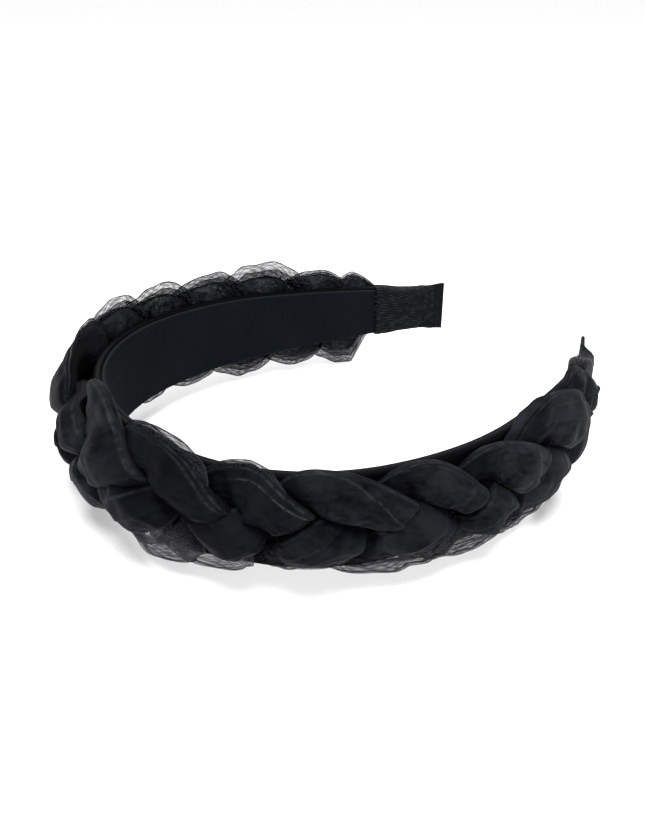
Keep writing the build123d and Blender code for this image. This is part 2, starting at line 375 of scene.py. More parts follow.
satinFinish = {
    "dark": (0.0008, 0.0009, 0.0011),
    "light": (0.0016, 0.0017, 0.0020),
    "roughness": 0.6,
    "gloss": 0.03,
}


def makeSatin():
    material, shader = newMaterial("blackSatin")
    place = addNode(material, "ShaderNodeTexCoord").outputs["Object"]
    grain = noise(material, place, 1800.0, 2.0)
    tone = ramp(material, grain, 0.3, 0.7, satinFinish["dark"], satinFinish["light"])
    material.node_tree.links.new(tone, shader.inputs["Base Color"])
    setBump(material, shader, grain, 0.2, 0.0002)
    setGloss(shader, satinFinish["roughness"], satinFinish["gloss"])
    return material


ribbonFinish = {
    "dark": (0.0020, 0.0024, 0.0032),
    "light": (0.0048, 0.0054, 0.0066),
    "ribPitch": 0.05,
    "roughness": 0.5,
    "gloss": 0.05,
}


def makeRibbonCloth():
    material, shader = newMaterial("ribbonCloth")
    place = clothMap(material)
    mottle = noise(material, place, 6.0, 4.0)
    tone = ramp(material, mottle, 0.3, 0.7, ribbonFinish["dark"], ribbonFinish["light"])
    material.node_tree.links.new(tone, shader.inputs["Base Color"])
    setBump(material, shader, weaveLines(material, place, ribbonFinish["ribPitch"], "X"), 0.3, 0.0002)
    setGloss(shader, ribbonFinish["roughness"], ribbonFinish["gloss"])
    return material


threadFinish = {
    "dark": (0.0024, 0.0028, 0.0036),
    "light": (0.0230, 0.0250, 0.0290),
    "roughness": 0.45,
    "gloss": 0.08,
}


# Raised thread: the ribs of the ribbon, its stitches and the loose ends
def makeThreadCloth():
    material, shader = newMaterial("blackThread")
    place = addNode(material, "ShaderNodeTexCoord").outputs["Object"]
    broken = noise(material, place, 520.0, 4.0)
    tone = ramp(material, broken, 0.42, 0.66, threadFinish["dark"], threadFinish["light"])
    material.node_tree.links.new(tone, shader.inputs["Base Color"])
    setGloss(shader, threadFinish["roughness"], threadFinish["gloss"])
    return material


denseOrganza = makeDenseOrganza()
sheerOrganza = makeSheerOrganza()
liningCloth = makeLiningCloth()
blackSatin = makeSatin()
ribbonCloth = makeRibbonCloth()
blackThread = makeThreadCloth()
print("materials made")


# Threads run along guide lines: ribs, stitches and loose ends
def makeThreadTree():
    tree = bpy.data.node_groups.new("threadAlongPath", "GeometryNodeTree")
    face = tree.interface
    face.new_socket("Geometry", in_out="INPUT", socket_type="NodeSocketGeometry")
    face.new_socket("Thread Radius", in_out="INPUT", socket_type="NodeSocketFloat")
    face.new_socket("Thread Sides", in_out="INPUT", socket_type="NodeSocketInt")
    face.new_socket("Thread Cloth", in_out="INPUT", socket_type="NodeSocketMaterial")
    face.new_socket("Geometry", in_out="OUTPUT", socket_type="NodeSocketGeometry")
    nodes, links = tree.nodes, tree.links
    start, end = nodes.new("NodeGroupInput"), nodes.new("NodeGroupOutput")
    path = nodes.new("GeometryNodeMeshToCurve")
    profile = nodes.new("GeometryNodeCurvePrimitiveCircle")
    thread = nodes.new("GeometryNodeCurveToMesh")
    thread.inputs["Fill Caps"].default_value = True
    smooth = nodes.new("GeometryNodeSetShadeSmooth")
    real = nodes.new("GeometryNodeRealizeInstances")
    dressed = nodes.new("GeometryNodeSetMaterial")
    links.new(start.outputs["Geometry"], path.inputs["Mesh"])
    links.new(start.outputs["Thread Radius"], profile.inputs["Radius"])
    links.new(start.outputs["Thread Sides"], profile.inputs["Resolution"])
    links.new(path.outputs["Curve"], thread.inputs["Curve"])
    links.new(profile.outputs["Curve"], thread.inputs["Profile Curve"])
    links.new(thread.outputs["Mesh"], smooth.inputs["Geometry"])
    links.new(smooth.outputs["Geometry"], real.inputs["Geometry"])
    links.new(real.outputs["Geometry"], dressed.inputs["Geometry"])
    links.new(start.outputs["Thread Cloth"], dressed.inputs["Material"])
    links.new(dressed.outputs["Geometry"], end.inputs["Geometry"])
    return tree


threadTree = makeThreadTree()


# A plain mesh of threads along lines of points in metres
def makeThreads(name, lines, radius, sides):
    points, edges = [], []
    for line in lines:
        first = len(points)
        points.extend(tuple(point) for point in line)
        edges.extend((first + number, first + number + 1) for number in range(len(line) - 1))
    guideMesh = bpy.data.meshes.new(name + "Guide")
    guideMesh.from_pydata(points, edges, [])
    guide = addPiece(name + "Guide", guideMesh, [])
    modifier = guide.modifiers.new("threads", "NODES")
    modifier.node_group = threadTree
    wanted = {"Thread Radius": radius * mm, "Thread Sides": sides, "Thread Cloth": blackThread}
    for socket in threadTree.interface.items_tree:
        if socket.in_out == "INPUT" and socket.name in wanted:
            modifier[socket.identifier] = wanted[socket.name]
    evaluated = guide.evaluated_get(bpy.context.evaluated_depsgraph_get())
    mesh = bpy.data.meshes.new_from_object(evaluated)
    guide.modifiers.remove(modifier)
    bpy.data.objects.remove(guide)
    mesh.name = name
    return bpy.data.objects.new(name, mesh)


# One piece made of a piece and others that are sewn to it
def sewOn(piece, others):
    for other in others:
        if other.name not in bpy.context.scene.collection.objects:
            bpy.context.scene.collection.objects.link(other)
    with bpy.context.temp_override(active_object=piece, selected_editable_objects=[piece, *others]):
        bpy.ops.object.join()
    return piece


# Rounded flat section of a layer: heights and widths of its corners, round the loop
def layerLoop(low, high, halfWidth, cornerRadius, cornerPoints=6, flatPoints=14):
    outs, acrosses = [], []
    quarter = np.linspace(0, math.pi / 2, cornerPoints)
    for side, start in ((1, 0), (1, 1), (-1, 2), (-1, 3)):
        angles = quarter + start * math.pi / 2
        outCentre = high - cornerRadius if start in (0, 3) else low + cornerRadius
        acrossCentre = side * (halfWidth - cornerRadius)
        outs.append(outCentre + cornerRadius * np.cos(angles))
        acrosses.append(acrossCentre + cornerRadius * np.sin(angles))
    loopOut, loopAcross = [], []
    for number in range(4):
        nextOut, nextAcross = outs[(number + 1) % 4], acrosses[(number + 1) % 4]
        loopOut.extend(outs[number])
        loopAcross.extend(acrosses[number])
        count = flatPoints if number % 2 else 3
        shares = np.linspace(0, 1, count + 2)[1:-1]
        loopOut.extend(outs[number][-1] + (nextOut[0] - outs[number][-1]) * shares)
        loopAcross.extend(acrosses[number][-1] + (nextAcross[0] - acrosses[number][-1]) * shares)
    return np.array(loopOut), np.array(loopAcross)


# A layer of the band, swept along it with a rounded section, its hems marked for a painted highlight
def sweepLayer(name, low, high, inset, cornerRadius, end, hemWidth, rings=240):
    lengths = np.linspace(-end, end, rings)
    rows, hems = [], []
    for along in lengths:
        half = bandHalfWidth(along) - inset
        outs, acrosses = layerLoop(low, high, half, cornerRadius)
        rows.append(onBand(np.full_like(outs, along), outs, acrosses))
        hems.append(np.abs(acrosses) > half - hemWidth)
    points = np.array(rows)
    marks = {"hemAndHighlight": np.array(hems, float)}
    return tubeMesh(name, points, lengths / 10, np.linspace(0, 5, points.shape[1]), marks)


liningSheet = {"inset": 0.6, "cornerRadius": 0.42, "end": bandLine["wrapStart"] - 0.3, "hemWidth": 0.3}
liningMesh = sweepLayer("liningSheet", 0, bandLine["liningThickness"], liningSheet["inset"],
                        liningSheet["cornerRadius"], liningSheet["end"], liningSheet["hemWidth"])
lining = addPiece("liningSheet", liningMesh, [liningCloth])
satinCover = {"cornerRadius": 1.0, "end": bandLine["wrapStart"] + 2, "hemWidth": 0.2}
satinMesh = sweepLayer("satinBand", bandLine["coreInside"] - 0.2, bandLine["coreOutside"], 0,
                       satinCover["cornerRadius"], satinCover["end"], satinCover["hemWidth"])
satin = addPiece("satinBand", satinMesh, [blackSatin])
print("band and lining made")

# The braid, in millimetres and degrees, as the solids have it
braid = {
    "strands": 3,
    "strandWidth": 12.8,
    "strandThickness": 5.8,
    "tuckedThickness": 3.6,
    "crossingGap": 1.2,
    "seatGap": 0.4,
    "climbLength": 16.0,
    "wrapOverlap": 2.0,
    "wrapTop": 5.42,
    "rise": 2.6,
    "edgeSqueeze": 0.35,
    "steps": [0.84, 1.00, 0.96, 0.98, 0.92, 0.96, 0.92, 0.97,
              0.94, 1.35, 0.74, 1.10, 1.02, 1.15, 1.33, 0.82],
    "firstTurn": 60.0,
    "lift": (64.0, 113.0),
    "dive": (161.0, 189.0),
    "edgeSpan": 48.0,
    "narrowSpan": 60.0,
}
# Form of the braid from its left end (-1) to its right end (1): way, height, width, rise
braidForm = np.array([
    (-1.00, 0.38, 0.45, 0.00), (-0.94, 0.50, 0.90, -0.50), (-0.84, 0.72, 0.94, -0.20),
    (-0.65, 0.86, 0.97, 0.30), (-0.38, 1.25, 0.98, 0.30), (-0.15, 1.12, 0.94, 0.20),
    (0.06, 1.05, 0.87, 0.40), (0.20, 0.94, 0.80, 0.80), (0.45, 0.88, 0.78, 0.70),
    (0.65, 0.84, 0.88, -0.30), (0.80, 0.84, 0.95, -0.45), (0.88, 0.76, 0.98, -0.50),
    (0.95, 0.44, 0.74, -0.30), (1.00, 0.38, 0.45, 0.00),
])
braidEnd = bandLine["wrapStart"] + braid["wrapOverlap"]
stepCount = len(braid["steps"])
braidKnots = -braidEnd + 2 * braidEnd * np.concatenate([[0], np.cumsum(braid["steps"])]) / sum(braid["steps"])
weaveSwing = 0.844 * braid["strandWidth"]
weaveStep = 1.456 * braid["strandWidth"]
stepTurn = 360 / braid["strands"]


# Length along the band after a number of steps of the braid, smooth over uneven steps
def braidPlace(steps):
    number = np.clip(np.floor(steps).astype(int), 0, stepCount - 1)
    share = steps - number
    before, after = np.maximum(0, number - 1), np.minimum(stepCount, number + 2)
    firstSlope = (braidKnots[number + 1] - braidKnots[before]) / np.where(number == 0, 1, 2)
    lastSlope = (braidKnots[after] - braidKnots[number]) / np.where(number == stepCount - 1, 1, 2)
    square, cube = share ** 2, share ** 3
    knots = braidKnots[number] * (2 * cube - 3 * square + 1)
    knots = knots + braidKnots[number + 1] * (3 * square - 2 * cube)
    return knots + firstSlope * (cube - 2 * square + share) + lastSlope * (cube - square)


def braidSeat(along):
    onCore = bandLine["coreOutside"] + braid["seatGap"]
    onWrap = braid["wrapTop"] + braid["seatGap"]
    climbed = ease((np.abs(along) - bandLine["wrapStart"]) / braid["climbLength"] + 1)
    return onCore + (onWrap - onCore) * climbed


def overShare(turn):
    halfTurn = np.mod(turn, 180)
    (liftStart, liftEnd), (diveStart, diveEnd) = braid["lift"], braid["dive"]
    early = 1 - ease((halfTurn + 180 - diveStart) / (diveEnd - diveStart))
    lifted = ease((halfTurn - liftStart) / (liftEnd - liftStart))
    late = lifted - ease((halfTurn - diveStart) / (diveEnd - diveStart))
    return np.where(halfTurn < liftStart, early, late)


def swell(angle, halfSpan):
    away = np.abs(np.mod(angle + 180, 360) - 180)
    return np.where(away < halfSpan, 0.5 + 0.5 * np.cos(math.pi * np.minimum(away / halfSpan, 1)), 0.0)


def strandSection(turn):
    over = overShare(turn)
    fromEdge = np.mod(turn, 180) - 90
    atEdge = 0.9 * swell(fromEdge, braid["edgeSpan"])
    tucked, full = braid["tuckedThickness"], braid["strandThickness"]
    halfWidth = braid["strandWidth"] * (0.29 + (0.5 - 0.29) * over)
    halfWidth += (0.46 * braid["strandWidth"] - halfWidth) * swell(fromEdge, braid["narrowSpan"])
    halfThickness = (tucked + (full - tucked) * over) / 2
    middle = tucked / 2 + (braid["crossingGap"] + (tucked + full) / 2) * over
    halfThickness += (0.57 * full - halfThickness) * atEdge
    middle += (0.57 * full - middle) * atEdge
    return halfWidth, halfThickness, middle, over


# Bell that falls from 1 at its middle to 0 at its half span
def bell(away, halfSpan):
    return 0.5 + 0.5 * np.cos(math.pi * np.clip(np.abs(away) / halfSpan, 0, 1))


# Points of a strand, from steps, a share across it from -1 to 1, a height share, a margin and
# the reach of its upper and lower side past the solids' strand
def strandPoints(number, steps, acrossShare, heightShare, margin, upperReach, lowerReach):
    turn = braid["firstTurn"] + stepTurn * (steps - number)
    middleV = weaveSwing * np.sin(np.radians(turn))
    slope = weaveSwing * np.cos(np.radians(turn)) * math.radians(stepTurn) / weaveStep
    acrossU, acrossV = -slope / np.hypot(1, slope), 1 / np.hypot(1, slope)
    halfWidth, halfThickness, middle, over = strandSection(turn)
    reach = upperReach * ease((acrossShare - 0.15) / 0.85) - lowerReach * ease((-acrossShare - 0.15) / 0.85)
    across = acrossShare * (halfWidth + margin) + reach
    height = middle + heightShare * (halfThickness + margin * 0.3)
    along = braidPlace(steps + acrossU * across / weaveStep)
    sideways = middleV + acrossV * across
    way = np.clip(along / braidEnd, -1, 1)
    edge = np.minimum(1, np.abs(sideways) / (weaveSwing + 0.46 * braid["strandWidth"]))
    squeezed = 1 - braid["edgeSqueeze"] * edge ** 2
    height = height * np.interp(way, braidForm[:, 0], braidForm[:, 1]) * squeezed
    sideways = sideways * np.interp(way, braidForm[:, 0], braidForm[:, 2])
    sideways = sideways + braid["rise"] * np.interp(way, braidForm[:, 0], braidForm[:, 3])
    return along, braidSeat(along) + height, sideways


strandLook = {
    "rings": 680,
    "topColumns": 66,
    "underColumns": 26,
    "edgePower": 3.2,
    "crownPower": 0.52,
    "margin": 0.10,
    "spreadSpan": 0.62,
    "earlySpread": 0.25,
    "lateSpread": 0.85,
    "foldSpan": 0.72,
    "petalMiddle": 0.60,
    "lowerDelay": 0.50,
    "lipSlope": 0.35,
    "lipEdge": 0.03,
    "lipShadow": 0.12,
    "pleatHeight": 0.11,
    "rolledHem": 0.20,
    "hemPlace": 0.94,
    "hemWidth": 0.035,
    "crumple": 0.20,
    "looseCrumple": 1.5,
    "tuckedCrumple": 1.2,
    "tuckedShade": 0.8,
    "pocketShade": 0.9,
    "clothSlack": 1.25,
    "endFade": 25,
    "underMark": 5.0,
}
# How far the cloth of each petal spreads past the solids' strand, in millimetres, a row for each
# step from the left end. The first four are the upper petal's: its upper side where the petal
# starts and ends, then its lower side there, and the last four are the lower petal's
petalSpread = np.array([
    (0.0, 0.0, 0.0, 0.0, 0.0, 0.0, 0.0, 0.0),
    (0.0, 0.0, 0.0, 0.0, 0.0, 0.0, 0.0, 0.0),
    (0.5, 0.0, 0.0, 0.0, 0.0, 0.0, 0.0, 0.0),
    (0.5, 0.0, 0.0, 0.0, 0.0, 0.0, 0.0, 0.0),
    (1.0, 0.0, 0.0, 0.0, 0.0, 0.0, 0.0, 0.0),
    (2.5, 1.0, 0.5, 0.5, 0.5, 0.5, 0.0, 0.0),
    (5.5, 7.0, 1.5, 1.5, 1.0, 1.0, 0.0, 0.0),
    (-3.0, 0.5, 1.0, 1.0, 1.0, 1.0, 2.0, 2.0),
    (8.0, 3.5, 5.0, 4.0, 6.0, 4.0, 0.5, -2.5),
    (3.5, -1.5, -5.0, -6.0, 7.0, 4.0, -3.5, -2.0),
    (1.5, 0.5, 4.0, -2.5, 1.0, 1.0, -3.0, -0.5),
    (1.5, -0.5, 1.0, -2.5, 2.0, 5.0, -3.0, -2.0),
    (0.5, -3.0, 0.5, -1.5, 1.0, 1.0, -5.0, -4.0),
    (-1.5, -2.0, 1.0, 1.5, 1.0, 1.0, -2.0, -1.5),
    (1.0, 1.0, 1.0, 0.5, 1.0, 1.0, -1.0, -1.5),
    (1.8, 1.1, 0.0, 0.0, 1.0, 1.0, 1.5, 0.5),
])
# How far the braid puffs outwards, or lies flatter where minus, in millimetres, by its share of the way
outwardPuff = np.array([(-0.50, 0.0), (-0.30, -0.4), (-0.16, -0.5), (-0.04, 0.0), (0.05, 0.0)])
# How loosely the cloth lies, by its share of the way: loose cloth crumples and gets painted glints
looseCloth = np.array([(-1.0, 1.0), (-0.50, 1.0), (-0.32, 0.2), (-0.10, 0.0), (1.0, 0.0)])
# How much painted shade darkens the cloth, by its share of the way
shadedCloth = np.array([
    (-0.36, 0.0), (-0.27, 0.90), (-0.12, 0.90), (-0.06, 0.0), (0.02, 0.0), (0.09, 0.75), (0.30, 0.65),
    (0.38, 0.30), (0.55, 0.35), (0.62, 0.0),
])
# Folds: upper (1) or lower (-1) petal, its step, share across where the fold starts and ends, lip
# height in millimetres, plus where the upper side lies on top, and how strong the lip's painted highlight is
foldLines = [
    (1, 5, 0.30, 0.20, 0.50, 0.2), (1, 6, 0.10, 0.35, 0.50, 0.3), (1, 6, -0.55, -0.30, 0.40, 0.2),
    (1, 7, -0.30, 0.20, 0.50, 0.2), (1, 8, 0.92, 0.88, -0.40, 0.4), (1, 8, -0.20, -0.45, 0.40, 0.1),
    (1, 9, 0.86, 0.74, -0.60, 0.3), (1, 9, -0.25, -0.30, 0.80, 0.1), (1, 10, 0.42, 0.98, 0.50, 0.8),
    (1, 10, 0.88, 0.96, -0.40, 0.2), (1, 11, 1.50, -0.53, -1.60, 0.4), (1, 12, 0.80, 0.70, -0.40, 0.3),
    (1, 12, 0.10, -0.30, 0.40, 0.1), (1, 13, 0.50, 0.05, 0.40, 0.1), (1, 13, -0.30, -0.55, -0.40, 0.1),
    (1, 14, -0.25, 0.40, 0.60, 0.2), (1, 14, 0.50, 0.70, -0.40, 0.2), (-1, 6, 0.20, 0.00, 0.40, 0.2),
    (-1, 7, 0.40, 0.20, 0.40, 0.2), (-1, 8, 0.55, 0.60, 0.70, 0.5), (-1, 8, 0.00, 0.15, 0.35, 0.1),
    (-1, 9, 0.10, -0.20, 0.40, 0.1), (-1, 10, 0.50, 0.30, 0.60, 0.2), (-1, 11, 0.30, 0.00, 0.35, 0.1),
    (-1, 12, 0.50, 0.40, 0.70, 0.3), (-1, 12, 0.00, -0.20, 0.60, 0.2), (-1, 13, 0.30, 0.20, 0.50, 0.3),
    (-1, 13, -0.30, -0.20, 0.40, 0.1), (-1, 14, 0.20, -0.10, 0.40, 0.3),
]


# Number of the strand that makes the upper (1) or lower (-1) petal of a step
def strandOf(side, step):
    return (step if side > 0 else step + 2) % braid["strands"]


# How far the two sides of a strand spread at each step
def petalReach(number, steps):
    upper, lower = np.zeros_like(steps), np.zeros_like(steps)
    for step, spread in enumerate(petalSpread):
        for side, delay, first in ((1, 0.0, 0), (-1, strandLook["lowerDelay"], 4)):
            if strandOf(side, step) == number:
                early = bell(steps - step - delay - strandLook["earlySpread"], strandLook["spreadSpan"])
                late = bell(steps - step - delay - strandLook["lateSpread"], strandLook["spreadSpan"])
                upper = upper + spread[first] * early + spread[first + 1] * late
                lower = lower + spread[first + 2] * early + spread[first + 3] * late
    return upper, lower


# Height of a strand's folds in millimetres, the shadow below their lips, which is painted as shade, and
# marks of the way to each lip and of the highlight painted on it
def foldRelief(number, steps, across):
    shape = np.broadcast(steps, across).shape
    height, pocket = np.zeros(shape), np.zeros(shape)
    marks = {mark + slot: np.zeros(shape) for mark in ("fold", "light") for slot in ("One", "Two")}
    seen = set()
    for side, step, start, end, lip, lipHighlight in foldLines:
        if strandOf(side, step) == number:
            centre = step + strandLook["petalMiddle"] + (0 if side > 0 else strandLook["lowerDelay"])
            weight = bell(steps - centre, strandLook["foldSpan"])
            share = np.clip((steps - centre) / strandLook["foldSpan"] / 2 + 0.5, 0, 1)
            away = (across - start - (end - start) * share) * math.copysign(1, lip)
            above, below = np.exp(-away / strandLook["lipSlope"]), np.exp(away / strandLook["lipEdge"])
            height += abs(lip) * weight * np.where(away > 0, above, below)
            shadow = min(1, abs(lip)) * weight * np.where(away > 0, 0, np.exp(away / strandLook["lipShadow"]))
            pocket = np.maximum(pocket, shadow)
            slot = "Two" if (side, step) in seen else "One"
            seen.add((side, step))
            fromLip = away * braid["strandWidth"] / 2
            marks["fold" + slot] = np.where(weight > 0, fromLip, marks["fold" + slot])
            marks["light" + slot] = np.where(weight > 0, lipHighlight * weight, marks["light" + slot])
    return height, pocket, marks


# Crumple of cloth at places in millimetres, from creases of seeded headings and lengths
def makeCrumple(seed, creases, shortest, longest):
    dice = np.random.default_rng(seed)
    headings = dice.normal(size=(creases, 3))
    headings /= np.linalg.norm(headings, axis=1, keepdims=True)
    waves = (headings * (2 * math.pi / dice.uniform(shortest, longest, creases))[:, None]).T
    phases = dice.uniform(0, 2 * math.pi, creases)

    def crumple(places):
        bent = places + 0.8 * np.sin(places[..., [1, 2, 0]] * 2 * math.pi / longest)
        return (0.64 - np.abs(np.sin(bent @ waves + phases))).sum(axis=-1) / math.sqrt(creases)

    return crumple


crumple = makeCrumple(seed=11, creases=14, shortest=9.0, longest=26.0)


# Shares across and of the height round a strand's section, over the top and back under it
def sectionShares(topColumns, underColumns):
    top, under = (np.linspace(0, 1, columns, endpoint=False) for columns in (topColumns, underColumns))
    topAcross = 0.6 * (1 - 2 * top) + 0.4 * np.cos(math.pi * top)
    underAcross = -np.cos(math.pi * under)
    across = np.concatenate([topAcross, underAcross])
    rise = np.clip(1 - np.abs(across) ** strandLook["edgePower"], 0, 1) ** strandLook["crownPower"]
    sign = np.concatenate([np.ones_like(top), -np.ones_like(under)])
    rounds = np.concatenate([1 - topAcross, 3 + underAcross]) / 2 * braid["strandWidth"] / 10
    return across[None, :], (rise * sign)[None, :], rounds


# Cloth simulation of the strands, run on a coarse and enlarged copy of each: lengths in millimetres
strandCloth = {
    "rings": 380,
    "topColumns": 30,
    "underColumns": 10,
    "enlarged": 20.0,
    "frames": 18,
    "quality": 5,
    "pressure": 4.0,
    "extraCloth": 0.14,
    "farthestMove": 0.9,
    "pinnedEdge": 0.90,
    "pinnedRings": 3,
    "smoothings": 3,
}


# How far the cloth of a strand moves when it is blown up and has more cloth than it needs: the
# coarse strand's steps, its places round the section and the moves there in metres
def settleCloth(number):
    steps = np.linspace(0, stepCount, strandCloth["rings"])[:, None]
    across, height, rounds = sectionShares(strandCloth["topColumns"], strandCloth["underColumns"])
    upper, lower = petalReach(number, steps)
    places = strandPoints(number, steps, across, height, strandLook["margin"], upper, lower)
    start = onBand(*places) * strandCloth["enlarged"]
    mesh = tubeMesh("strandCloth", start, steps[:, 0], rounds)
    piece = addPiece("strandCloth", mesh, [])
    held = np.broadcast_to(np.abs(across) > strandCloth["pinnedEdge"], start.shape[:2]).copy()
    held[:strandCloth["pinnedRings"]] = True
    held[-strandCloth["pinnedRings"]:] = True
    heldPoints = np.append(np.flatnonzero(held.ravel()), [held.size, held.size + 1])
    piece.vertex_groups.new(name="held").add(heldPoints.tolist(), 1.0, "REPLACE")
    cloth = piece.modifiers.new("cloth", "CLOTH")
    cloth.settings.quality = strandCloth["quality"]
    cloth.settings.use_pressure = True
    cloth.settings.uniform_pressure_force = strandCloth["pressure"]
    cloth.settings.shrink_min = -strandCloth["extraCloth"]
    cloth.settings.vertex_group_mass = "held"
    cloth.settings.effector_weights.gravity = 0
    cloth.collision_settings.use_collision = False
    cloth.point_cache.frame_end = strandCloth["frames"]
    for frameNumber in range(1, strandCloth["frames"] + 1):
        bpy.context.scene.frame_set(frameNumber)
    evaluated = piece.evaluated_get(bpy.context.evaluated_depsgraph_get())
    settled = np.zeros(len(evaluated.data.vertices) * 3)
    evaluated.data.vertices.foreach_get("co", settled)
    moves = (settled.reshape(-1, 3)[:held.size].reshape(start.shape) - start) / strandCloth["enlarged"]
    bpy.data.objects.remove(piece)
    bpy.context.scene.frame_set(1)
    farthest = strandCloth["farthestMove"] * mm
    size = np.maximum(np.linalg.norm(moves, axis=-1, keepdims=True), 1e-9)
    return steps[:, 0], rounds, moves * farthest * np.tanh(size / farthest) / size


# Moves of the coarse strand at the fine strand's steps and places round the section
def spreadMoves(coarse, steps, rounds):
    coarseSteps, coarseRounds, moves = coarse
    period = 2 * braid["strandWidth"] / 10
    fine = np.zeros((len(steps), len(rounds), 3))
    for axis in range(3):
        across = np.array([np.interp(rounds, coarseRounds, row, period=period) for row in moves[..., axis]])
        fine[..., axis] = np.array([np.interp(steps, coarseSteps, column) for column in across.T]).T
    for smoothing in range(strandCloth["smoothings"]):
        fine[1:-1] = (fine[:-2] + 2 * fine[1:-1] + fine[2:]) / 4
        fine = (np.roll(fine, 1, axis=1) + 2 * fine + np.roll(fine, -1, axis=1)) / 4
    return fine


def strandBody(number):
    steps = np.linspace(0, stepCount, strandLook["rings"])[:, None]
    across, height, rounds = sectionShares(strandLook["topColumns"], strandLook["underColumns"])
    top = np.maximum(height, 0)
    turn = braid["firstTurn"] + stepTurn * (steps - number)
    over = overShare(turn)
    phase = 2.1 * number + 0.8 * np.sin(np.radians(turn * 0.37))
    pleat = np.sin(across * 11 + phase + 1.2 * np.sin(np.radians(turn))) * np.cos(across * 5.3 - phase)
    upper, lower = petalReach(number, steps)
    along, out, sideways = strandPoints(number, steps, across, height, strandLook["margin"], upper, lower)
    folds, pocket, marks = foldRelief(number, steps, across)
    # Rolled hem in the relief; the cloth's colour paints a highlight line at the same place
    hemAndHighlight = np.exp(-((np.abs(across) - strandLook["hemPlace"]) / strandLook["hemWidth"]) ** 2)
    relief = strandLook["pleatHeight"] * pleat * (1.6 - over) + folds + strandLook["rolledHem"] * hemAndHighlight
    way = along / braidEnd
    loose = np.interp(way, looseCloth[:, 0], looseCloth[:, 1])
    creased = 1 + strandLook["looseCrumple"] * loose + strandLook["tuckedCrumple"] * (1 - over)
    creases = crumple(np.stack([along, out, sideways], axis=-1))
    relief = relief + strandLook["crumple"] * creased * creases
    ends = ease((1 - np.abs(way)) * strandLook["endFade"])
    out = out + top * (relief * ends + np.interp(way, outwardPuff[:, 0], outwardPuff[:, 1]))
    lengths = steps[:, 0] * weaveStep / 10 * strandLook["clothSlack"]
    toEdge = (1 - np.abs(across)) * braid["strandWidth"] / 2
    fromEdge = np.where(height >= 0, toEdge, strandLook["underMark"])
    # Painted shade in the colour: tucked stretches, pockets below fold lips and stretches of the way
    shade = np.interp(way, shadedCloth[:, 0], shadedCloth[:, 1])
    tucked = np.clip(0.9 - over, 0, 1) * strandLook["tuckedShade"]
    depth = np.maximum(np.maximum(tucked, pocket * strandLook["pocketShade"]), shade)
    marks.update(fromEdge=fromEdge, depth=depth, loose=loose)
    points = onBand(along, out, sideways)
    points += spreadMoves(settleCloth(number), steps[:, 0], rounds)
    print(f"cloth of strand {number + 1} settled")
    mesh = tubeMesh(f"strandBody{number + 1}", points, lengths, rounds, marks)
    return addPiece(f"organzaStrand{number + 1}", mesh, [denseOrganza, sheerOrganza, blackThread])


# Loose puffs of sheer cloth along the edges: upper (1) or lower (-1) side, place in steps, reach in
# millimetres, half span in steps, and how thin the cloth lies, 0 dense to 1 thin
sheerLobes = [
    (1, 0.40, 2.0, 0.50, 0.7), (1, 1.30, 2.0, 0.50, 0.3), (1, 2.25, 6.0, 0.80, 1.0),
    (1, 3.30, 4.0, 0.60, 0.2), (1, 4.25, 4.5, 0.65, 0.8), (1, 5.35, 4.5, 0.60, 0.8),
    (1, 6.30, 2.0, 0.50, 0.5), (1, 9.40, 2.8, 0.26, 0.7), (1, 10.30, 1.8, 0.35, 0.8),
    (1, 13.95, 4.0, 0.35, 0.0), (1, 14.92, 3.4, 0.40, 0.0), (-1, 0.70, 5.0, 0.65, 0.5),
    (-1, 1.80, 3.0, 0.55, 0.3), (-1, 2.75, 4.0, 0.65, 0.5), (-1, 3.75, 2.5, 0.55, 0.7),
    (-1, 4.40, 3.0, 0.60, 0.7), (-1, 5.60, 2.0, 0.50, 0.3), (-1, 6.80, 3.0, 0.55, 0.3),
    (-1, 7.80, 2.5, 0.60, 0.2), (-1, 9.08, 10.5, 0.46, 0.4), (-1, 9.50, 4.5, 0.50, 0.0),
    (-1, 9.62, 9.5, 0.60, 0.9), (-1, 10.80, 3.8, 0.50, 0.8), (-1, 11.93, 8.5, 0.68, 0.5),
    (-1, 12.80, 9.5, 0.60, 0.5), (-1, 13.85, 6.0, 0.55, 0.3), (-1, 14.75, 6.0, 0.55, 0.8),
    (-1, 15.45, 3.0, 0.45, 0.6),
]
lobeLook = {
    "rings": 54,
    "around": 32,
    "puff": 1.5,
    "ruffle": 0.6,
    "sink": 1.6,
    "fullReach": 6,
    "fullness": 0.75,
    "thickness": 0.1,
    "edgeWave": 0.05,
    "layers": [1.0, 0.5],
    "layerShift": 0.14,
    "rimStart": 0.72,
    "rimSpan": 0.25,
    "looseness": 0.3,
    "floorGap": 0.3,
}


